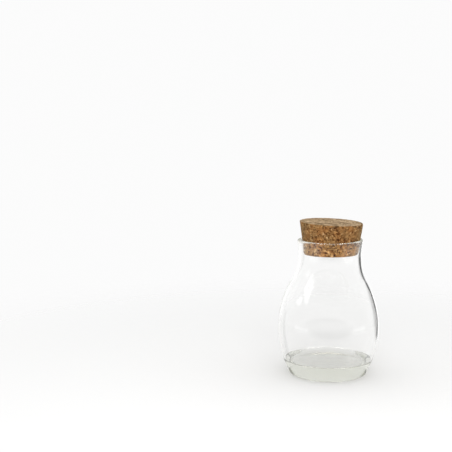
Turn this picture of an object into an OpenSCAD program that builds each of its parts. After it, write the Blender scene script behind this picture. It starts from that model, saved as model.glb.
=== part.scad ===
// Blown-glass storage jar with a tapered cork stopper, in millimetres.
// Origin at the middle of the foot, on the table; +Z is up.

/* [Jar body] */
// Height of the glass, from the table to the top of the lip
jar_h = 137.5; // [128:0.5:160]
// Outer diameter at the widest ring
body_d = 102.2; // [96:0.2:114]
// Height of the widest ring above the table
belly_z = 48.4; // [42:0.2:54]
// Radius of the long curve that runs down the belly
belly_arc_r = 94.5; // [84:0.5:110]
// Radius of the hollow curve between belly and neck
shoulder_arc_r = 50; // [36:0.5:60]
// Thickness of the wall round the belly, where the glass is blown out the furthest
wall = 1.9; // [1.4:0.1:2.8]

/* [Base] */
// Radius of the rounded heel round the foot
heel_r = 6; // [3:0.5:9]
// Thickness of the glass in the middle of the base
base_t = 16.2; // [10:0.2:20]
// Radius of the small inside curve from the floor to the wall
floor_arc_r = 1.2; // [1:0.2:4]
// Width of the ring that touches the table
foot_w = 3; // [1.5:0.5:6]
// How far the underside is pushed up inside that ring
push_up = 0.3; // [0.2:0.1:1.5]

/* [Neck and lip] */
// Outer diameter at the waist of the neck
neck_d = 63.6; // [58:0.1:70]
// Thickness of the wall at that waist
neck_wall = 2.8; // [2:0.1:3.2]
// How much wider the lip is than that waist, on the radius
neck_flare = 0.95; // [0.3:0.05:1.6]
// Thickness of the rounded, fire-polished lip
lip_t = 3.6; // [2.6:0.1:4.4]

/* [Cork stopper] */
// Height of the stopper on its axis
cork_h = 32.8; // [24:0.2:44]
// How deep the stopper reaches below the top of the lip
cork_in = 14; // [10:0.5:20]
// Slope of the stopper's side to its axis, in degrees
cork_taper = 8.8; // [4:0.2:11]
// How far the top face is cut askew, down towards +X, in degrees
cork_slant = 2.3; // [0:0.1:4]
// Rounding of the stopper's bottom edge
cork_bottom_edge = 2; // [1:0.1:4]
// Clearance between the stopper and the lip
fit_gap = 0.15; // [0.1:0.05:0.4]

/* [Hidden] */

glass_colour = [0.84, 0.89, 0.86, 0.35];
cork_colour = [0.66, 0.47, 0.31];

// Facets round the axis, and degrees between the points of a long and of a short arc
round_fn = 128;
long_step = 2.5;
short_step = 10;

// Direction from point a to point b, in degrees
function aim(a, b) = atan2(b.y - a.y, b.x - a.x);

// Points of an arc about c, from angle a0 to angle a1, no more than step apart
function arc(c, r, a0, a1, step) =
    let (n = ceil(abs(a1 - a0) / step))
    [for (i = [0:n]) c + r * [cos(a0 + (a1 - a0) * i / n), sin(a0 + (a1 - a0) * i / n)]];

// Height of the centre of an arc of radius r above the belly's centre, where it meets an arc of
// radius belly_r from outside and stands dx further out
function above_belly(r, belly_r, dx) = sqrt(pow(belly_r + r, 2) - dx * dx);

// The belly is one arc, centred beyond the axis at the height of the widest ring
belly_c = [body_d / 2 - belly_arc_r, belly_z];

// The heel arc stands on the table and meets the belly arc from inside
heel_c = [
    belly_c.x + sqrt(pow(belly_arc_r - heel_r, 2) - pow(belly_z - heel_r, 2)),
    heel_r
];
heel_a = aim(belly_c, heel_c);

// The hollow shoulder arc meets the belly arc from outside and ends upright at the neck's waist
neck_r = neck_d / 2;
shoulder_dx = neck_r + shoulder_arc_r - belly_c.x;
shoulder_c = belly_c + [shoulder_dx, above_belly(shoulder_arc_r, belly_arc_r, shoulder_dx)];
shoulder_a = aim(belly_c, shoulder_c);

// The lip is a bead, and the neck flares from its waist to meet the bead from outside
lip_r = lip_t / 2;
lip_c = [neck_r + neck_flare - lip_r, jar_h - lip_r];
flare_h = lip_c.y - shoulder_c.y;
flare_arc_r = (flare_h * flare_h + pow(neck_r - lip_c.x, 2) - lip_r * lip_r) / (2 * neck_flare);
flare_c = [neck_r + flare_arc_r, shoulder_c.y];
flare_a = aim(lip_c, flare_c);

// Inside, the shoulder arc does the same, and the glass thickens along it from belly to neck
inner_arc_r = belly_arc_r - wall;
inner_shoulder_r = shoulder_arc_r + neck_wall;
inner_shoulder_c = belly_c
    + [shoulder_dx, above_belly(inner_shoulder_r, inner_arc_r, shoulder_dx)];
inner_shoulder_a = aim(belly_c, inner_shoulder_c);

// The floor arc lies on the floor and meets the inner belly arc from inside
floor_z = base_t + push_up;
floor_c = [
    belly_c.x + sqrt(pow(inner_arc_r - floor_arc_r, 2)
        - pow(belly_z - floor_z - floor_arc_r, 2)),
    floor_z + floor_arc_r
];
floor_a = aim(belly_c, floor_c);

// The underside is pushed up as a shallow dome inside the ring that touches the table
dome_edge_r = heel_c.x - foot_w;
dome_r = (dome_edge_r * dome_edge_r + push_up * push_up) / (2 * push_up);
dome_c = [0, push_up - dome_r];
dome_a = aim(dome_c, [dome_edge_r, 0]);

// Half section of the glass: under the foot, up the outside, over the lip and down the inside
glass_section = concat(
    arc(dome_c, dome_r, 90, dome_a, long_step),
    arc(heel_c, heel_r, -90, heel_a, short_step),
    arc(belly_c, belly_arc_r, heel_a, shoulder_a, long_step),
    arc(shoulder_c, shoulder_arc_r, shoulder_a + 180, 180, long_step),
    arc(flare_c, flare_arc_r, 180, flare_a + 180, long_step / 2),
    arc(lip_c, lip_r, flare_a, 180, short_step),
    arc(inner_shoulder_c, inner_shoulder_r, 180, inner_shoulder_a + 180, long_step),
    arc(belly_c, inner_arc_r, inner_shoulder_a, floor_a, long_step),
    arc(floor_c, floor_arc_r, floor_a, -90, short_step / 2),
    [[0, floor_z]]
);

// The stopper's side is a cone that comes within fit_gap of the lip's bead; cork_seat_r is its
// radius at the height of the bead's middle
cork_k = tan(cork_taper);
cork_seat_r = lip_c.x - (lip_r + fit_gap) / cos(cork_taper);
cork_below = cork_in - lip_r;
cork_above = cork_h - cork_below;
cork_top_r = cork_seat_r + cork_k * cork_above;
cork_edge_c = [
    cork_seat_r + cork_k * (cork_bottom_edge - cork_below) - cork_bottom_edge / cos(cork_taper),
    cork_bottom_edge - cork_below
];

// The cone is drawn higher than it stands, so that the slanted cut goes right across it
cut_h = 2 * cork_top_r * tan(cork_slant) + 1;

// Half section of that cone, with its origin at the middle of the lip
cork_section = concat(
    [[0, -cork_below]],
    arc(cork_edge_c, cork_bottom_edge, -90, -cork_taper, short_step),
    [[cork_top_r + cork_k * cut_h, cork_above + cut_h], [0, cork_above + cut_h]]
);

module glass_jar() {
    color(glass_colour)
        rotate_extrude($fn = round_fn)
            polygon(glass_section);
}

module cork_stopper() {
    color(cork_colour)
        translate([0, 0, lip_c.y])
            difference() {
                rotate_extrude($fn = round_fn)
                    polygon(cork_section);
                translate([0, 0, cork_above])
                    rotate([0, cork_slant, 0])
                        translate([-2 * cork_top_r, -2 * cork_top_r, 0])
                            cube([4 * cork_top_r, 4 * cork_top_r, 4 * cut_h]);
            }
}

glass_jar();
cork_stopper();
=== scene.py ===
# Looks of a blown-glass storage jar with a pressed-cork stopper, in metres.
import math
import random

import bpy
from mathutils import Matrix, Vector, kdtree, noise


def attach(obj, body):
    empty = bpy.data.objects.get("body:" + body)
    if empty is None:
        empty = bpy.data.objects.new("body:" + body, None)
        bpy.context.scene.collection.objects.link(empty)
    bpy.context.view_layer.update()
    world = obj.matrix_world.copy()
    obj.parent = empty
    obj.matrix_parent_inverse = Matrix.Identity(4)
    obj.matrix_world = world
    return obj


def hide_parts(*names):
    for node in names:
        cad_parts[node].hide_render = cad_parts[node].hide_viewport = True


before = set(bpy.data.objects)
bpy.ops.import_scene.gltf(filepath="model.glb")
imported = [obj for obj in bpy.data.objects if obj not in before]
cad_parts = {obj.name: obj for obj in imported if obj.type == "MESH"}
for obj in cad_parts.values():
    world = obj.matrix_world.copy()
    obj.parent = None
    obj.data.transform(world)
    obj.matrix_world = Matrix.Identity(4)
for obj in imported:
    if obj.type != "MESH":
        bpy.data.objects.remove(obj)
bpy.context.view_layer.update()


def in_radians(*degrees):
    return tuple(math.radians(d) for d in degrees)


# The jar's and the stopper's dimensions, the same as those of the solids
JAR_H = 0.1375
BODY_D = 0.1022
BELLY_Z = 0.0484
BELLY_ARC_R = 0.0945
SHOULDER_ARC_R = 0.050
WALL = 0.0019
NECK_WALL = 0.0028
HEEL_R = 0.006
BASE_T = 0.0162
FLOOR_ARC_R = 0.0012
FOOT_W = 0.003
PUSH_UP = 0.0003
NECK_D = 0.0636
NECK_FLARE = 0.00095
LIP_T = 0.0036
CORK_H = 0.0328
CORK_IN = 0.014
CORK_TAPER = math.radians(8.8)
CORK_SLANT = math.radians(2.3)
CORK_BOTTOM_EDGE = 0.002
FIT_GAP = 0.00015

# Worked out from them: the middle of the lip's bead, the slope of the stopper's side, and the
# stopper's radius at that middle and its reach below and above it
LIP_C = (NECK_D / 2 + NECK_FLARE - LIP_T / 2, JAR_H - LIP_T / 2)
CORK_SLOPE = math.tan(CORK_TAPER)
CORK_SEAT_R = LIP_C[0] - (LIP_T / 2 + FIT_GAP) / math.cos(CORK_TAPER)
CORK_BELOW = CORK_IN - LIP_T / 2
CORK_ABOVE = CORK_H - CORK_BELOW

# What is uneven in this jar: the neck stands off the belly's axis, the lip's bore stands further
# off and the lip rises unevenly, and the stopper leans and has a worn top edge. A pair that ends
# in H holds the heights between which something sets in or ends.
NECK_SHIFT = 0.0010
NECK_SHIFT_H = (0.65 * JAR_H, 0.9 * JAR_H)
BORE_SHIFT = 0.00105
BORE_SHIFT_H = (JAR_H - 0.007, JAR_H - 0.0025)
LIP_RISE = 0.0005
LIP_TILT = 0.0004
LIP_DIP = 0.00045
LIP_RISE_H = (JAR_H - 0.009, JAR_H)
CORK_LEAN = math.radians(0.8)
CORK_FRONT_SLANT = math.radians(1.0)
CORK_TOP_EDGE = 0.0006

# Fineness of the visual meshes
GLASS_SEGMENTS = 240
LONG_STEP = 0.0009
SHORT_STEP = 0.0003
CORK_CELLS = 132
CORK_RING_STEP = 0.00033
# Points closer to each other than this are one
SAME_POINT = 1e-6

WHITE = (1, 1, 1, 1)


def smooth(x, low, high):
    t = min(1.0, max(0.0, (x - low) / (high - low)))
    return t * t * (3 - 2 * t)


def even_noise(at):
    """Noise that runs from about 0 to about 1."""
    return 0.5 + 0.5 * noise.noise(at)


def aim(a, b):
    return math.atan2(b[1] - a[1], b[0] - a[0])


def arc(c, r, a0, a1, spacing):
    """Points of an arc about c, about spacing apart."""
    n = max(2, math.ceil(abs(a1 - a0) * r / spacing))
    steps = [a0 + (a1 - a0) * i / n for i in range(n + 1)]
    return [(c[0] + r * math.cos(a), c[1] + r * math.sin(a)) for a in steps]


def chain(*arcs):
    """Joins arcs end to end without doubled points."""
    out = []
    for points in arcs:
        for p in points:
            if not out or math.dist(p, out[-1]) > SAME_POINT:
                out.append(p)
    return out


def make_mesh(name, verts, faces, material):
    mesh = bpy.data.meshes.new(name)
    mesh.from_pydata(verts, [], faces)
    mesh.validate()
    mesh.update()
    mesh.shade_smooth()
    mesh.materials.append(material)
    obj = bpy.data.objects.new(name, mesh)
    bpy.context.scene.collection.objects.link(obj)
    return obj


def set_attribute(obj, name, values):
    obj.data.attributes.new(name, "FLOAT", "POINT").data.foreach_set("value", values)


# Shader nodes


def new_material(name):
    material = bpy.data.materials.new(name)
    material.use_nodes = True
    material.node_tree.nodes.clear()
    return material, material.node_tree


def put(tree, socket, value):
    """Links another node's output to a socket, or sets the socket to a constant."""
    if isinstance(value, bpy.types.NodeSocket):
        tree.links.new(value, socket)
    else:
        socket.default_value = value


def add(tree, kind, sockets=None, **settings):
    """Adds a node with its settings, and fills its sockets."""
    made = tree.nodes.new(kind)
    for name, value in settings.items():
        setattr(made, name, value)
    for key, value in (sockets or {}).items():
        put(tree, made.inputs[key], value)
    return made


def calc(tree, operation, *values, clamp=False):
    made = add(tree, "ShaderNodeMath", dict(enumerate(values)), operation=operation)
    made.use_clamp = clamp
    return made.outputs[0]


def span(tree, value, low, high, to_low=0.0, to_high=1.0):
    """A value between low and high, eased to run from to_low to to_high."""
    made = add(
        tree,
        "ShaderNodeMapRange",
        {"Value": value, "From Min": low, "From Max": high, "To Min": to_low, "To Max": to_high},
        interpolation_type="SMOOTHSTEP",
    )
    return made.outputs["Result"]


def edged(tree, value, low, high, soft):
    """One where value lies between low and high, easing to nothing over soft on either side."""
    start = span(tree, value, low - soft, low + soft)
    end = span(tree, value, high - soft, high + soft, 1.0, 0.0)
    return calc(tree, "MULTIPLY", start, end)


def mix(tree, kind, factor, a, b, **settings):
    """Adds a Mix node and fills the sockets of one kind, Float or Color."""
    made = add(tree, "ShaderNodeMix", **settings)
    sockets = {s.identifier: s for s in made.inputs}
    for key, value in (("Factor_Float", factor), ("A_" + kind, a), ("B_" + kind, b)):
        put(tree, sockets[key], value)
    return next(s for s in made.outputs if s.identifier == "Result_" + kind)


def mix_value(tree, factor, a, b):
    return mix(tree, "Float", factor, a, b)


def mix_colour(tree, factor, a, b, blend="MIX"):
    return mix(tree, "Color", factor, a, b, data_type="RGBA", blend_type=blend)


def mix_shader(tree, factor, a, b):
    return add(tree, "ShaderNodeMixShader", {0: factor, 1: a, 2: b}).outputs[0]


def colour_ramp(tree, factor, *colours):
    """Colours spread over a factor from 0 to 1, each at its own place."""
    ramp = add(tree, "ShaderNodeValToRGB", {"Fac": factor})
    stops = ramp.color_ramp.elements
    stops[0].position, stops[0].color = colours[0]
    stops[1].position, stops[1].color = colours[-1]
    for position, colour in colours[1:-1]:
        stops.new(position).color = colour
    return ramp.outputs[0]


def noise_texture(tree, place, scale, detail, roughness):
    sockets = {"Vector": place, "Scale": scale, "Detail": detail, "Roughness": roughness}
    return add(tree, "ShaderNodeTexNoise", sockets).outputs[0]


def attribute(tree, name):
    return add(tree, "ShaderNodeAttribute", attribute_name=name).outputs["Fac"]


# Glass

GLASS_IOR = 1.5
GLASS_TINT = (0.50, 0.52, 0.38, 1.0)
GLASS_TINT_DENSITY = 7.9
# How the glass lets light through to what it shades, in place of its bent rays
GLASS_SHADE = (0.85, 0.85, 0.842, 1.0)
# The satin of the lip
LIP_TINT = (1.0, 0.94, 0.84, 1.0)
LIP_ROUGHNESS = 0.26
# Faint ripple of the surface: the noise's scale, detail and roughness, its stretch upwards,
# and its strength and depth
RIPPLE = (90.0, 2.0, 0.4)
RIPPLE_STRETCH = (1.0, 1.0, 0.35)
RIPPLE_STRENGTH = 0.04
RIPPLE_DEPTH = 0.001


def glass_material():
    material, tree = new_material("clear_blown_glass")
    place = add(tree, "ShaderNodeTexCoord").outputs["Object"]
    stretched = add(tree, "ShaderNodeMapping", {"Vector": place, "Scale": RIPPLE_STRETCH})
    ripple = noise_texture(tree, stretched.outputs[0], *RIPPLE)
    bump = {"Height": ripple, "Strength": RIPPLE_STRENGTH, "Distance": RIPPLE_DEPTH}
    lip = attribute(tree, "lip")
    body = add(
        tree,
        "ShaderNodeBsdfPrincipled",
        {
            "Base Color": mix_colour(tree, lip, WHITE, LIP_TINT),
            "Roughness": calc(tree, "MULTIPLY", lip, LIP_ROUGHNESS),
            "IOR": GLASS_IOR,
            "Transmission Weight": 1.0,
            "Normal": add(tree, "ShaderNodeBump", bump).outputs[0],
        },
    ).outputs[0]
    shade = add(tree, "ShaderNodeBsdfTransparent", {"Color": GLASS_SHADE}).outputs[0]
    path = add(tree, "ShaderNodeLightPath").outputs
    surface = mix_shader(tree, path["Is Diffuse Ray"], body, shade)
    surface = mix_shader(tree, path["Is Shadow Ray"], surface, shade)
    tint = {"Color": GLASS_TINT, "Density": GLASS_TINT_DENSITY}
    volume = add(tree, "ShaderNodeVolumeAbsorption", tint).outputs[0]
    add(tree, "ShaderNodeOutputMaterial", {"Surface": surface, "Volume": volume})
    return material


def glass_section():
    """Half section of the glass: up its outside from the foot, and down its inside."""
    down, up = -math.pi / 2, math.pi / 2
    belly_c = (BODY_D / 2 - BELLY_ARC_R, BELLY_Z)
    heel_x = belly_c[0] + math.sqrt((BELLY_ARC_R - HEEL_R) ** 2 - (BELLY_Z - HEEL_R) ** 2)
    heel_c = (heel_x, HEEL_R)
    heel_a = aim(belly_c, heel_c)
    neck_r = NECK_D / 2
    shoulder_x = neck_r + SHOULDER_ARC_R

    def shoulder_at(arc_r, belly_r):
        rise = math.sqrt((belly_r + arc_r) ** 2 - (shoulder_x - belly_c[0]) ** 2)
        return shoulder_x, BELLY_Z + rise

    shoulder_c = shoulder_at(SHOULDER_ARC_R, BELLY_ARC_R)
    shoulder_z = shoulder_c[1]
    shoulder_a = aim(belly_c, shoulder_c)
    lip_r = LIP_T / 2
    flare_h = LIP_C[1] - shoulder_z
    flare_r = (flare_h**2 + (neck_r - LIP_C[0]) ** 2 - lip_r**2) / (2 * NECK_FLARE)
    flare_c = (neck_r + flare_r, shoulder_z)
    flare_a = aim(LIP_C, flare_c)
    inner_r = BELLY_ARC_R - WALL
    inner_shoulder_r = SHOULDER_ARC_R + NECK_WALL
    inner_shoulder_c = shoulder_at(inner_shoulder_r, inner_r)
    inner_shoulder_a = aim(belly_c, inner_shoulder_c)
    floor_z = BASE_T + PUSH_UP
    floor_c = (
        belly_c[0]
        + math.sqrt((inner_r - FLOOR_ARC_R) ** 2 - (BELLY_Z - floor_z - FLOOR_ARC_R) ** 2),
        floor_z + FLOOR_ARC_R,
    )
    floor_a = aim(belly_c, floor_c)
    floor_n = math.ceil(floor_c[0] / LONG_STEP)
    dome_edge = heel_x - FOOT_W
    dome_r = (dome_edge**2 + PUSH_UP**2) / (2 * PUSH_UP)
    dome_c = (0.0, PUSH_UP - dome_r)
    outside = chain(
        arc(dome_c, dome_r, up, aim(dome_c, (dome_edge, 0.0)), LONG_STEP),
        arc(heel_c, HEEL_R, down, heel_a, SHORT_STEP),
        arc(belly_c, BELLY_ARC_R, heel_a, shoulder_a, LONG_STEP),
        arc(shoulder_c, SHOULDER_ARC_R, shoulder_a + math.pi, math.pi, LONG_STEP),
        arc(flare_c, flare_r, math.pi, flare_a + math.pi, LONG_STEP),
        arc(LIP_C, lip_r, flare_a, up, SHORT_STEP),
    )
    inside = chain(
        arc(LIP_C, lip_r, up, math.pi, SHORT_STEP),
        arc(inner_shoulder_c, inner_shoulder_r, math.pi, inner_shoulder_a + math.pi, LONG_STEP),
        arc(belly_c, inner_r, inner_shoulder_a, floor_a, LONG_STEP),
        arc(floor_c, FLOOR_ARC_R, floor_a, down, SHORT_STEP),
        [(floor_c[0] * (1 - i / floor_n), floor_z) for i in range(1, floor_n + 1)],
    )
    return outside, inside


# Waves of the wall: their depth, how fine they are round and up the jar, how much finer a second
# set is and its share, and what sets the inside's waves apart from the outside's
WALL_WAVE = 0.00018
WALL_WAVE_ROUND = 26
WALL_WAVE_UP = 14
WALL_WAVE_FINER = 2.3
WALL_WAVE_FINER_SHARE = 0.25
WALL_WAVE_INSIDE = 7.0
WALL_WAVE_START_H = (0.004, 0.016)
WALL_WAVE_END_H = (JAR_H - 0.016, JAR_H - 0.008)
# Waves of the lip's top: their depth, how fine they are, and the slice of the noise
LIP_WAVE = 0.00030
LIP_WAVE_ROUND = 2.2
LIP_WAVE_SLICE = 3.1
# The satin of the lip sets in about the middle of its bead
SATIN_H = (LIP_C[1] - 0.0006, LIP_C[1] + 0.0004)


def blown(r, z, a, inner):
    """A point of the glass where this jar's uneven blowing put it."""
    c, s = math.cos(a), math.sin(a)
    up = z * WALL_WAVE_UP + (WALL_WAVE_INSIDE if inner else 0.0)
    at = Vector((c * r * WALL_WAVE_ROUND, s * r * WALL_WAVE_ROUND, up))
    wave = even_noise(at) + WALL_WAVE_FINER_SHARE * noise.noise(at * WALL_WAVE_FINER)
    wave = min(1.0, max(0.0, wave))
    wall = smooth(z, *WALL_WAVE_START_H) * (1 - smooth(z, *WALL_WAVE_END_H))
    lip = smooth(z, *LIP_RISE_H)
    drop = LIP_WAVE * even_noise(Vector((c * LIP_WAVE_ROUND, s * LIP_WAVE_ROUND, LIP_WAVE_SLICE)))
    lift = (LIP_RISE + LIP_TILT * c + 2 * LIP_DIP * c * c) * lip
    bore = smooth(z, *BORE_SHIFT_H)
    if not inner or z >= LIP_C[1]:
        bore *= smooth(LIP_C[0] + LIP_T / 2 - r, 0.0, LIP_T)
    radius = r - WALL_WAVE * wave * wall
    radius += lift * CORK_SLOPE * bore
    shift = NECK_SHIFT * smooth(z, *NECK_SHIFT_H)
    return c * radius + shift + BORE_SHIFT * bore, s * radius, z + lift - drop * lip


def glass_jar():
    outside, inside = glass_section()
    section = outside + inside[1:]
    n = GLASS_SEGMENTS
    verts = [(0.0, 0.0, section[0][1])]
    satin = [0.0]
    for i, (r, z) in enumerate(section[1:-1], start=1):
        inner = i >= len(outside)
        verts += [blown(r, z, 2 * math.pi * k / n, inner) for k in range(n)]
        satin += [smooth(z, *SATIN_H)] * n
    verts.append((0.0, 0.0, section[-1][1]))
    satin.append(0.0)
    last = len(verts) - 1
    faces = [(0, 1 + (k + 1) % n, 1 + k) for k in range(n)]
    for low in range(1, last - n, n):
        for k in range(n):
            j = (k + 1) % n
            faces.append((low + k, low + j, low + n + j, low + n + k))
    faces += [(last - n + k, last - n + (k + 1) % n, last) for k in range(n)]
    jar = make_mesh("glass_jar_blown", verts, faces, glass_material())
    set_attribute(jar, "lip", satin)
    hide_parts("glass_jar")
    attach(jar, "jar")


# Cork

# Noise textures of the cork: scale, detail and roughness
FINE = (900.0, 4.0, 0.6)
MOTTLE = (320.0, 3.0, 0.55)
PATCHES = (95.0, 3.0, 0.6)
# Colours of the moulded side and of the sanded faces, from the darkest granule to the lightest
BARK = (
    (0.0, (0.06, 0.020, 0.005, 1)),
    (0.22, (0.165, 0.069, 0.019, 1)),
    (0.50, (0.320, 0.160, 0.056, 1)),
    (0.80, (0.43, 0.228, 0.083, 1)),
    (1.0, (0.60, 0.37, 0.18, 1)),
)
SANDED = (
    (0.0, (0.11, 0.072, 0.033, 1)),
    (0.45, (0.300, 0.208, 0.112, 1)),
    (1.0, (0.60, 0.45, 0.29, 1)),
)
# The dark of pits and seams, also the colour of the painted shade under the rim
HOLLOW_AND_SHADE = (0.045, 0.014, 0.004, 1)
# How much the mottle shades a granule, and the patches the sanded faces
MOTTLE_SHADE = 0.45
PATCH_SHADE = 1.6
# Patches of a cooler and a warmer hue
PATCH_RANGE = (0.38, 0.62)
COOLER = (0.98, 1.05, 1.10, 1)
WARMER = (1.05, 0.96, 0.86, 1)
# Painted sheen: the side is a little greyer towards -X and +X, where it turns edge-on to the
# front
PAINTED_SHEEN_ASIDE = (0.86, 0.98, 1.07, 1)
PAINTED_SHEEN_FROM = (0.016, 0.027)
# Below the lip the side is painted paler, as painted light for the light that reaches it through
# the glass, and its granules differ more
PAINTED_LIGHT_BELOW_LIP = (1.70, 1.70, 1.60, 1)
BELOW_LIP_H = (JAR_H - 0.003, JAR_H)
BELOW_LIP_CONTRAST = 1.4
# Brightness over the fine noise and roughness over the mottle, each as a range and its levels
GRAIN_RANGE = (0.30, 0.70)
GRAIN_LEVELS = (0.82, 1.14)
ROUGH_RANGE = (0.3, 0.7)
ROUGH_LEVELS = (0.78, 0.95)
# How fully the sanded colours, and the dark of hollows and of the painted shade under the rim,
# cover the rest
FACE_COVER = 0.9
HOLLOW_AND_SHADE_COVER = 0.9
CORK_SPECULAR = 0.15
CORK_BUMP_STRENGTH = 0.5
CORK_BUMP_DEPTH = 0.0004


def cork_material():
    material, tree = new_material("pressed_cork_granules")
    place = add(tree, "ShaderNodeTexCoord").outputs["Object"]
    across, _, height = add(tree, "ShaderNodeSeparateXYZ", {0: place}).outputs
    fine, mottle, patch = (noise_texture(tree, place, *kind) for kind in (FINE, MOTTLE, PATCHES))
    granule, hollow, face = (attribute(tree, name) for name in ("granule", "hollow", "face"))

    def off_middle(value):
        return calc(tree, "SUBTRACT", value, 0.5)

    def tinted(colour, tint):
        return mix_colour(tree, 1.0, colour, tint, "MULTIPLY")

    contrast = span(tree, height, *BELOW_LIP_H, BELOW_LIP_CONTRAST, 1.0)
    granule = calc(tree, "MULTIPLY_ADD", off_middle(granule), contrast, 0.5)
    shade = calc(tree, "MULTIPLY_ADD", off_middle(mottle), MOTTLE_SHADE, granule)
    bark = colour_ramp(tree, shade, *BARK)
    bark = tinted(bark, mix_colour(tree, span(tree, patch, *PATCH_RANGE), COOLER, WARMER))
    # Painted sheen: greyer towards -X and +X
    painted_sheen_aside = span(tree, calc(tree, "ABSOLUTE", across), *PAINTED_SHEEN_FROM)
    bark = tinted(bark, mix_colour(tree, painted_sheen_aside, WHITE, PAINTED_SHEEN_ASIDE))
    cut = calc(tree, "MULTIPLY_ADD", off_middle(patch), PATCH_SHADE, shade)
    sanded = colour_ramp(tree, cut, *SANDED)
    colour = mix_colour(tree, calc(tree, "MULTIPLY", face, FACE_COVER), bark, sanded)
    grain = span(tree, fine, *GRAIN_RANGE, *GRAIN_LEVELS)
    grey = add(tree, "ShaderNodeCombineColor", {0: grain, 1: grain, 2: grain}).outputs[0]
    colour = tinted(colour, grey)
    # Painted light: paler below the lip's top, where the glass covers the side
    painted_light_below_lip = span(tree, height, *BELOW_LIP_H, 1.0, 0.0)
    colour = tinted(colour, mix_colour(tree, painted_light_below_lip, WHITE, PAINTED_LIGHT_BELOW_LIP))
    # Dark of pits and seams, and painted shade under the rim
    dark = calc(tree, "MULTIPLY", hollow, HOLLOW_AND_SHADE_COVER, clamp=True)
    colour = mix_colour(tree, dark, colour, HOLLOW_AND_SHADE)
    bump = {"Height": fine, "Strength": CORK_BUMP_STRENGTH, "Distance": CORK_BUMP_DEPTH}
    body = add(
        tree,
        "ShaderNodeBsdfPrincipled",
        {
            "Base Color": colour,
            "Roughness": span(tree, mottle, *ROUGH_RANGE, *ROUGH_LEVELS),
            "Specular IOR Level": CORK_SPECULAR,
            "Normal": add(tree, "ShaderNodeBump", bump).outputs[0],
        },
    )
    add(tree, "ShaderNodeOutputMaterial", {"Surface": body.outputs[0]})
    return material


def cork_profile():
    """Rings of the stopper from its bottom edge to its top edge, each a radius and a height."""

    def edge_c(z, r):
        return CORK_SEAT_R + CORK_SLOPE * z - r / math.cos(CORK_TAPER), z

    low_c = edge_c(CORK_BOTTOM_EDGE - CORK_BELOW, CORK_BOTTOM_EDGE)
    high_c = edge_c(CORK_ABOVE - CORK_TOP_EDGE, CORK_TOP_EDGE)
    low = arc(low_c, CORK_BOTTOM_EDGE, -math.pi / 2, -CORK_TAPER, CORK_RING_STEP)
    high = arc(high_c, CORK_TOP_EDGE, -CORK_TAPER, math.pi / 2, CORK_RING_STEP / 2)
    (r0, z0), (r1, z1) = low[-1], high[0]
    n = math.ceil(math.dist(low[-1], high[0]) / CORK_RING_STEP)
    side = [(r0 + (r1 - r0) * i / n, z0 + (z1 - z0) * i / n) for i in range(n + 1)]
    return chain(low, side, high)


def disc_points(n):
    """Grid points of a square laid on the unit disc, and its rim's indices in order of angle."""
    points = []
    for j in range(n + 1):
        for i in range(n + 1):
            a, b = 2 * i / n - 1, 2 * j / n - 1
            if a == 0 and b == 0:
                points.append((0.0, 0.0))
            elif abs(a) > abs(b):
                phi = math.pi / 4 * b / a
                points.append((a * math.cos(phi), a * math.sin(phi)))
            else:
                phi = math.pi / 2 - math.pi / 4 * a / b
                points.append((b * math.cos(phi), b * math.sin(phi)))
    w = n + 1
    rim = [j * w + n for j in range(n)]
    rim += [n * w + i for i in range(n, 0, -1)]
    rim += [j * w for j in range(n, 0, -1)]
    rim += list(range(n))
    return points, rim


def cork_surface(rings):
    """The stopper before its wear: points, normals, how level each point lies, and faces."""
    n = CORK_CELLS
    unit, rim = disc_points(n)
    verts, normals, levels = [], [], []
    for (r, z), up in ((rings[0], -1), (rings[-1], 1)):
        verts += [Vector((x * r, y * r, z)) for x, y in unit]
        normals += [Vector((0, 0, up))] * len(unit)
        levels += [1.0] * len(unit)
    top, first = len(unit), len(verts)
    angles = [-math.pi / 4 + math.pi / 2 * i / n for i in range(4 * n)]
    for (r0, z0), (r, z), (r1, z1) in zip(rings, rings[1:], rings[2:]):
        along = Vector((r1 - r0, z1 - z0)).normalized()
        nr, nz = along.y, -along.x
        for a in angles:
            c, s = math.cos(a), math.sin(a)
            verts.append(Vector((c * r, s * r, z)))
            normals.append(Vector((c * nr, s * nr, nz)))
            levels.append(max(0.0, nz))

    faces = []
    w = n + 1
    for j in range(n):
        for i in range(n):
            p = j * w + i
            q = top + p
            faces.append((p, p + w, p + w + 1, p + 1))
            faces.append((q, q + 1, q + w + 1, q + w))
    loops = [rim]
    loops += [[first + i * 4 * n + m for m in range(4 * n)] for i in range(len(rings) - 2)]
    loops.append([top + p for p in rim])
    for a, b in zip(loops, loops[1:]):
        for m in range(4 * n):
            q = (m + 1) % (4 * n)
            faces.append((a[m], a[q], b[q], b[m]))
    return verts, normals, levels, faces


# Granules are the cells round random points. Each kind has the share of granules up to which it
# is picked, and its darkest and lightest shade.
GRANULES = 30000
GRANULE_SEED = 11
GRANULE_MARGIN = 0.004
GRANULE_KINDS = (
    (0.12, 0.02, 0.25),
    (0.86, 0.33, 0.66),
    (1.0, 0.74, 1.0),
)
# noise_vector warps the cells and the pits. It would start from the clock without a seed.
WARP_SEED = 1796033781
# How far and how finely the cells are warped, and the width of the seams between them
GRANULE_WARP = 0.0009
GRANULE_WARP_FINE = 420
SEAM_W = 0.0004


def granules(reach):
    """The granules' middles, and their shades from dark to light."""
    rng = random.Random(GRANULE_SEED)
    middles = kdtree.KDTree(GRANULES)
    shades = []
    for i in range(GRANULES):
        x = rng.uniform(-reach, reach)
        y = rng.uniform(-reach, reach)
        z = rng.uniform(-CORK_BELOW - GRANULE_MARGIN, CORK_ABOVE + GRANULE_MARGIN)
        middles.insert(Vector((x, y, z)), i)
        pick = rng.random()
        darkest, lightest = next(kind[1:] for kind in GRANULE_KINDS if pick < kind[0])
        shades.append(rng.uniform(darkest, lightest))
    middles.balance()
    return middles, shades


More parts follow.
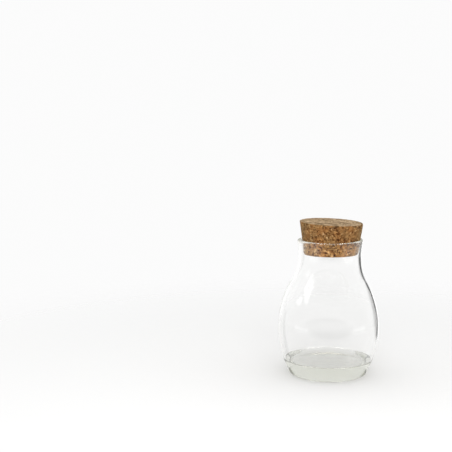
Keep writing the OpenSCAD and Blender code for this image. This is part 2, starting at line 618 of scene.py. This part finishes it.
# Pits are the bark's pores, cut across in front and behind, and rare at the sides
PITS = 380
PIT_SEED = 5
PIT_MARGIN = 0.001
PIT_R = (0.00040, 0.00080)
PIT_RARE = 0.08
PIT_SIDES = (0.55, 0.90)
# How far and how finely the pits' outlines are warped, and the share of the radius that is flat
PIT_WARP = 0.00025
PIT_WARP_FINE = 900
PIT_FLAT = 0.55


def pits():
    """The pits' places on the side, and their radii."""
    rng = random.Random(PIT_SEED)
    places = kdtree.KDTree(PITS)
    radii = []
    while len(radii) < PITS:
        a = rng.uniform(-math.pi, math.pi)
        z = rng.uniform(PIT_MARGIN - CORK_BELOW, CORK_ABOVE - PIT_MARGIN)
        chance = PIT_RARE + (1 - PIT_RARE) * smooth(abs(math.sin(a)), *PIT_SIDES)
        if rng.random() > chance:
            continue
        r = CORK_SEAT_R + CORK_SLOPE * z
        places.insert(Vector((r * math.cos(a), r * math.sin(a), z)), len(radii))
        radii.append(rng.uniform(*PIT_R))
    places.balance()
    return places, radii


# The worn top edge: its heights, its width inwards from the rim, and how fine its unevenness is
EDGE_H = (CORK_ABOVE - 0.0022, CORK_ABOVE - 0.0002)
EDGE_IN = 0.0016
EDGE_FINE = 95
# Chips in that edge: two finenesses of noise, the share of the finer, and where they begin
CHIP_FINE = 210
CHIP_FINER = 620
CHIP_FINER_SHARE = 0.6
CHIP_RANGE = (0.0, 0.6)
# A band just below the edge, dented, and darkened as painted shade under the rim
UNDER_RIM_START_H = (CORK_ABOVE - 0.0048, CORK_ABOVE - 0.0030)
UNDER_RIM_END_H = (CORK_ABOVE - 0.0016, CORK_ABOVE - 0.0008)
UNDER_RIM_FINE = 130
UNDER_RIM_SLICE = Vector((5, 0, 0))
UNDER_RIM_RANGE = (0.12, 0.45)


def edge_wear(p, rim_r):
    """How worn and how chipped the stopper is at a point near its top edge, and how far it is
    dented and darkened by painted shade just below that edge.
    """
    worn = smooth(p.z, *EDGE_H) * smooth(p.xy.length, rim_r - EDGE_IN, rim_r)
    crumbs = noise.noise(p * CHIP_FINE) + CHIP_FINER_SHARE * noise.noise(p * CHIP_FINER)
    chip = worn * smooth(crumbs, *CHIP_RANGE)
    # Painted shade under the rim, in a band that is also dented
    under_rim_dent_and_shade = smooth(p.z, *UNDER_RIM_START_H) * (1 - smooth(p.z, *UNDER_RIM_END_H))
    under_rim_dent_and_shade *= smooth(noise.noise(p * UNDER_RIM_FINE + UNDER_RIM_SLICE), *UNDER_RIM_RANGE)
    return worn, chip, under_rim_dent_and_shade


def seated(p):
    """Where a point of the upright stopper stands: leaning, with the top lower to +X and -Y."""
    dz = p.y * math.tan(CORK_FRONT_SLANT) - p.x * math.tan(CORK_SLANT)
    dz *= (p.z + CORK_BELOW) / (CORK_ABOVE + CORK_BELOW)
    wider = 1 + CORK_SLOPE * dz / (CORK_SEAT_R + CORK_SLOPE * p.z)
    x = p.x * wider + NECK_SHIFT + BORE_SHIFT + p.z * math.tan(CORK_LEAN)
    return Vector((x, p.y * wider, p.z + dz + LIP_C[1]))


# Depths of the relief, below the cone and the faces
LEAST_DEPTH = 0.00004
UNEVEN_DEPTH = 0.00016
UNEVEN_FINE = 150
LEVEL_DEPTH = 0.0003
DARK_DEPTH = 0.00010
SEAM_DEPTH = 0.00012
PIT_DEPTH = 0.0007
CHIP_DEPTH = 0.0009
UNDER_RIM_DENT_DEPTH = 0.0004
EDGE_DEPTH = 0.0007
# How dark seams are and how dark the painted shade under the rim is, where a pit is 1, how much
# less the seams of a level face show, and how far a chip shows the sanded colours
SEAM_DARK = 0.35
SEAM_LEVEL = 0.6
UNDER_RIM_PAINTED_SHADE = 0.6
CHIP_PALE = 0.6


def cork_stopper():
    rings = cork_profile()
    rim_r = rings[-1][0]
    verts, normals, levels, faces = cork_surface(rings)
    middles, shades = granules(rim_r + GRANULE_MARGIN)
    pit_places, pit_r = pits()
    noise.seed_set(WARP_SEED)
    placed, granule, hollow, face = [], [], [], []
    for p, normal, level in zip(verts, normals, levels):
        warped = p + GRANULE_WARP * noise.noise_vector(p * GRANULE_WARP_FINE)
        (_, i, nearest), (_, _, next_nearest) = middles.find_n(warped, 2)
        seam = 1 - smooth(next_nearest - nearest, 0.0, SEAM_W)
        _, j, away = pit_places.find(p + PIT_WARP * noise.noise_vector(p * PIT_WARP_FINE))
        pit = 1 - smooth(away, PIT_FLAT * pit_r[j], pit_r[j])
        worn, chip, under_rim_dent_and_shade = edge_wear(p, rim_r)
        uneven = even_noise(p * UNEVEN_FINE)
        depth = LEAST_DEPTH + UNEVEN_DEPTH * uneven + SEAM_DEPTH * seam
        depth += PIT_DEPTH * pit + CHIP_DEPTH * chip + DARK_DEPTH * (1 - shades[i])
        depth += LEVEL_DEPTH * level * uneven + UNDER_RIM_DENT_DEPTH * under_rim_dent_and_shade
        depth += EDGE_DEPTH * worn * even_noise(p * EDGE_FINE)
        placed.append(seated(p - normal * depth))
        granule.append(shades[i])
        seam_dark = SEAM_DARK * seam * (1 - SEAM_LEVEL * level)
        # The dark of pits and seams, with the painted shade under the rim
        hollow.append(min(1.0, pit + seam_dark + UNDER_RIM_PAINTED_SHADE * under_rim_dent_and_shade))
        face.append(min(1.0, level + CHIP_PALE * chip))
    cork = make_mesh("cork_stopper_granular", placed, faces, cork_material())
    for name, values in (("granule", granule), ("hollow", hollow), ("face", face)):
        set_attribute(cork, name, values)
    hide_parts("cork_stopper")
    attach(cork, "stopper")


# Floor

FLOOR_DROP = 0.0001
FLOOR_COLOUR = (0.96, 0.96, 0.955, 1)
FLOOR_R = 1.2
FLOOR_CORNERS = 96
# The floor fades into the backdrop over these distances from the jar
FLOOR_FADE = (0.16, 0.62)
# Mirrored in the glass, it also ends in front, and leaves a gap behind on the right
FLOOR_FRONT = (-0.28, -0.14)
FLOOR_GAP_SIDES = in_radians(22, 60)
FLOOR_GAP_SOFT = math.radians(4)
FLOOR_GAP_FROM = (0.12, 0.20)


def studio_floor():
    material, tree = new_material("studio_floor_white")
    place = add(tree, "ShaderNodeTexCoord").outputs["Object"]
    x, y, _ = add(tree, "ShaderNodeSeparateXYZ", {0: place}).outputs
    away = add(tree, "ShaderNodeVectorMath", {0: place}, operation="LENGTH").outputs["Value"]
    in_front = span(tree, y, *FLOOR_FRONT, 1.0, 0.0)
    turn = calc(tree, "ARCTAN2", x, y)
    gap = edged(tree, turn, *FLOOR_GAP_SIDES, FLOOR_GAP_SOFT)
    behind = calc(tree, "MULTIPLY", gap, span(tree, away, *FLOOR_GAP_FROM))
    path = add(tree, "ShaderNodeLightPath").outputs
    mirrored = calc(tree, "GREATER_THAN", path["Glossy Depth"], 0.5)
    open_floor = calc(tree, "MULTIPLY", calc(tree, "MAXIMUM", in_front, behind), mirrored)
    fade = calc(tree, "MAXIMUM", span(tree, away, *FLOOR_FADE), open_floor)
    paper = add(tree, "ShaderNodeBsdfDiffuse", {"Color": FLOOR_COLOUR}).outputs[0]
    gone = add(tree, "ShaderNodeBsdfTransparent").outputs[0]
    surface = mix_shader(tree, fade, paper, gone)
    add(tree, "ShaderNodeOutputMaterial", {"Surface": surface})
    n = FLOOR_CORNERS
    turns = [2 * math.pi * i / n for i in range(n)]
    verts = [(0, 0, -FLOOR_DROP)]
    verts += [(FLOOR_R * math.cos(a), FLOOR_R * math.sin(a), -FLOOR_DROP) for a in turns]
    faces = [(0, 1 + i, 1 + (i + 1) % n) for i in range(n)]
    make_mesh("studio_floor", verts, faces, material)


# World: a white backdrop, seen straight or through the glass, an even level that lights the
# object, and a studio that shows only mirrored in the glass. Each part of that studio has a
# level by which it multiplies the rest, its sides and rises as angles, and a soft edge.

BACKDROP = 0.97
AMBIENT = 0.86
FRONT_LEVEL = 0.80
FRONT_HALF = (-0.3, 0.3)
LEFT_LEVEL = 1.07
LEFT_SIDES = in_radians(-60, -10)
LEFT_RISE = in_radians(-40, 40)
LEFT_SOFT = math.radians(6)
ROOM_LEVEL = 0.25
ROOM_FRONT = (-0.90, -0.60)
ROOM_RISE = in_radians(-40, -5)
ROOM_SOFT = math.radians(5)
PATCH_LEVEL = 0.12
PATCH_SIDES = in_radians(23, 56)
PATCH_RISE = in_radians(-18, 8)
PATCH_SOFT = math.radians(4)
PALER_LEVEL = 2.8
PALER_SIDES = in_radians(20, 42)
PALER_RISE = in_radians(-16.5, -5.0)
PALER_SOFT = math.radians(1.5)
GLOW_LEVEL = 2.0
GLOW_SIDES = in_radians(94, 128)
GLOW_RISE = in_radians(-11.5, -4)
GLOW_SOFT = math.radians(1.5)
CEILING_LEVEL = 9.5
CEILING_RISE = in_radians(54, 66)
# The windows add their level. Each has its lowest and highest rise, then the near and the far
# side's turn at the lowest rise, and how far each side turns per degree of rise.
WINDOW_LEVEL = 1.3
WINDOW_SOFT = math.radians(2)
WINDOWS = (
    ((22, 46), (-118, 0.0), (-108, 1.35)),
    ((16, 25), (-97, -0.3), (-82, -0.95)),
)


def window_light(tree, turn, rise, rises, near, far):
    low, high = in_radians(*rises)
    lit = edged(tree, rise, low, high, WINDOW_SOFT)
    above = calc(tree, "SUBTRACT", rise, low)
    for (at, lean), sign in ((near, 1.0), (far, -1.0)):
        side = calc(tree, "MULTIPLY_ADD", above, lean, math.radians(at))
        past = calc(tree, "MULTIPLY", calc(tree, "SUBTRACT", turn, side), sign)
        lit = calc(tree, "MULTIPLY", lit, span(tree, past, -WINDOW_SOFT, WINDOW_SOFT))
    return lit


def studio_world():
    world = bpy.data.worlds.new("studio_white")
    bpy.context.scene.world = world
    world.use_nodes = True
    tree = world.node_tree
    tree.nodes.clear()
    way = add(tree, "ShaderNodeTexCoord").outputs["Generated"]
    x, y, z = add(tree, "ShaderNodeSeparateXYZ", {0: way}).outputs
    turn = calc(tree, "ARCTAN2", x, y)
    rise = calc(tree, "ARCSINE", z)
    either_side = calc(tree, "ABSOLUTE", turn)

    def zone(about, sides, rises, soft):
        across = edged(tree, about, *sides, soft)
        return calc(tree, "MULTIPLY", across, edged(tree, rise, *rises, soft))

    room = calc(
        tree,
        "MULTIPLY",
        span(tree, y, *ROOM_FRONT, 1.0, 0.0),
        edged(tree, rise, *ROOM_RISE, ROOM_SOFT),
    )
    mirrored = span(tree, y, *FRONT_HALF, FRONT_LEVEL, 1.0)
    for part, level in (
        (zone(turn, LEFT_SIDES, LEFT_RISE, LEFT_SOFT), LEFT_LEVEL),
        (zone(turn, PATCH_SIDES, PATCH_RISE, PATCH_SOFT), PATCH_LEVEL),
        (zone(turn, PALER_SIDES, PALER_RISE, PALER_SOFT), PALER_LEVEL),
        (zone(either_side, GLOW_SIDES, GLOW_RISE, GLOW_SOFT), GLOW_LEVEL),
        (room, ROOM_LEVEL),
        (span(tree, rise, *CEILING_RISE), CEILING_LEVEL),
    ):
        factor = calc(tree, "MULTIPLY_ADD", part, level - 1.0, 1.0)
        mirrored = calc(tree, "MULTIPLY", mirrored, factor)
    for window in WINDOWS:
        lit = window_light(tree, turn, rise, *window)
        mirrored = calc(tree, "MULTIPLY_ADD", lit, WINDOW_LEVEL, mirrored)
    path = add(tree, "ShaderNodeLightPath").outputs
    turned = calc(tree, "GREATER_THAN", path["Glossy Depth"], 0.5)
    seen = mix_value(tree, turned, BACKDROP, mirrored)
    level = mix_value(tree, path["Is Glossy Ray"], AMBIENT, seen)
    level = mix_value(tree, path["Is Transmission Ray"], level, seen)
    level = mix_value(tree, path["Is Camera Ray"], level, BACKDROP)
    sky = add(tree, "ShaderNodeBackground", {"Color": WHITE, "Strength": level})
    add(tree, "ShaderNodeOutputWorld", {"Surface": sky.outputs[0]})


# Lamp and camera

LAMP_AT = Vector((-0.02, -1.00, 0.68))
LAMP_TO = Vector((0, 0, 0.05))
LAMP_SIZE = 0.75
LAMP_POWER = 4.85
# The photograph's viewpoint
CAMERA_AT = (-0.1040, -1.000, 0.2697)
CAMERA_PITCH = math.radians(6.73)
CAMERA_LENS = 79.65
CAMERA_SENSOR = 36.0
CAMERA_CLIP = (0.01, 50.0)


def studio_lamp():
    light = bpy.data.lights.new("soft_overhead", "AREA")
    light.shape = "SQUARE"
    light.size = LAMP_SIZE
    light.energy = LAMP_POWER
    lamp = bpy.data.objects.new("soft_overhead", light)
    bpy.context.scene.collection.objects.link(lamp)
    lamp.location = LAMP_AT
    lamp.rotation_euler = (LAMP_TO - LAMP_AT).to_track_quat("-Z", "Y").to_euler()
    lamp.visible_camera = False
    lamp.visible_glossy = False
    lamp.visible_transmission = False


def studio_camera():
    data = bpy.data.cameras.new("photo_view")
    data.sensor_width = CAMERA_SENSOR
    data.lens = CAMERA_LENS
    data.clip_start, data.clip_end = CAMERA_CLIP
    camera = bpy.data.objects.new("photo_view", data)
    bpy.context.scene.collection.objects.link(camera)
    camera.location = CAMERA_AT
    camera.rotation_euler = (math.pi / 2 - CAMERA_PITCH, 0, 0)
    bpy.context.scene.camera = camera


# Light that enters the lip and the base is turned inside the glass many times
GLASS_BOUNCES = 96
TRANSPARENT_BOUNCES = 24

scene = bpy.context.scene
scene.view_settings.view_transform = "Standard"
scene.cycles.max_bounces = GLASS_BOUNCES
scene.cycles.transmission_bounces = GLASS_BOUNCES
scene.cycles.glossy_bounces = GLASS_BOUNCES
scene.cycles.transparent_max_bounces = TRANSPARENT_BOUNCES

glass_jar()
cork_stopper()
studio_floor()
studio_world()
studio_lamp()
studio_camera()
